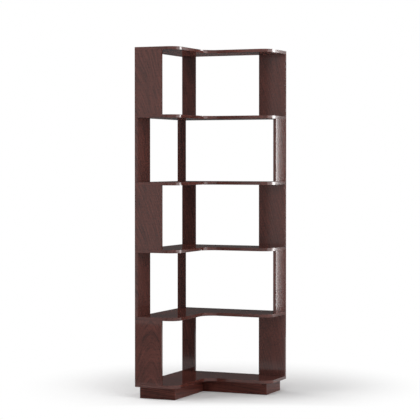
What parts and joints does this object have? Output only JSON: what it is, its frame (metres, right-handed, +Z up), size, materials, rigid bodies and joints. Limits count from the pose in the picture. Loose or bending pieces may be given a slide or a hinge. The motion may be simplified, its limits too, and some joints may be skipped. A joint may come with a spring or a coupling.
{
  "type": "corner shelf unit",
  "caption": "Tall open corner shelf unit: L-shaped boards on a recessed plinth, held apart by narrow panels that turn a quarter from bay to bay.",
  "frame": {"origin": "on the floor under the middle of the 600 by 600 mm footprint; the room's corner is at -X, +Y", "axes": "+Z up; the right arm runs along +X at the back, the left arm runs along -Y at the left, so the open corner of the L faces +X, -Y"},
  "size_m": [0.6, 0.6, 1.8],
  "materials": {
    "panel_veneer": "dark brown stained veneer, upright grain, satin lacquer",
    "shelf_veneer": "dark brown stained veneer on the faces and edges, satin lacquer",
    "plinth_veneer": "dark brown stained veneer, level grain, satin lacquer",
    "zinc": "die-cast zinc, bright, slightly dull"
  },
  "bodies": {
    "root": {"plinth_left_end": "plinth_veneer", "plinth_left_inner": "plinth_veneer", "plinth_right_inner": "plinth_veneer", "plinth_right_end": "plinth_veneer", "plinth_back": "plinth_veneer", "plinth_left_wall": "plinth_veneer", "base_board": "shelf_veneer", "shelf_1": "shelf_veneer", "shelf_2": "shelf_veneer", "shelf_3": "shelf_veneer", "shelf_4": "shelf_veneer", "top_board": "shelf_veneer", "bay1_left_panel": "panel_veneer", "bay1_corner_panel": "panel_veneer", "bay1_right_panel": "panel_veneer", "bay2_left_panel": "panel_veneer", "bay2_corner_panel": "panel_veneer", "bay2_right_panel": "panel_veneer", "bay3_left_panel": "panel_veneer", "bay3_corner_panel": "panel_veneer", "bay3_right_panel": "panel_veneer", "bay4_left_panel": "panel_veneer", "bay4_corner_panel": "panel_veneer", "bay4_right_panel": "panel_veneer", "bay5_left_panel": "panel_veneer", "bay5_corner_panel": "panel_veneer", "bay5_right_panel": "panel_veneer", "bay1_left_cam_lower": "zinc", "bay1_left_cam_upper": "zinc", "bay1_corner_cam_lower": "zinc", "bay1_corner_cam_upper": "zinc", "bay1_right_cam_lower": "zinc", "bay1_right_cam_upper": "zinc", "bay2_left_cam_lower": "zinc", "bay2_left_cam_upper": "zinc", "bay2_corner_cam_lower": "zinc", "bay2_corner_cam_upper": "zinc", "bay2_right_cam_lower": "zinc", "bay2_right_cam_upper": "zinc", "bay3_left_cam_lower": "zinc", "bay3_left_cam_upper": "zinc", "bay3_corner_cam_lower": "zinc", "bay3_corner_cam_upper": "zinc", "bay3_right_cam_lower": "zinc", "bay3_right_cam_upper": "zinc", "bay4_left_cam_lower": "zinc", "bay4_left_cam_upper": "zinc", "bay4_corner_cam_lower": "zinc", "bay4_corner_cam_upper": "zinc", "bay4_right_cam_lower": "zinc", "bay4_right_cam_upper": "zinc", "bay5_left_cam_lower": "zinc", "bay5_left_cam_upper": "zinc", "bay5_corner_cam_lower": "zinc", "bay5_corner_cam_upper": "zinc", "bay5_right_cam_lower": "zinc", "bay5_right_cam_upper": "zinc"}
  },
  "joints": []
}
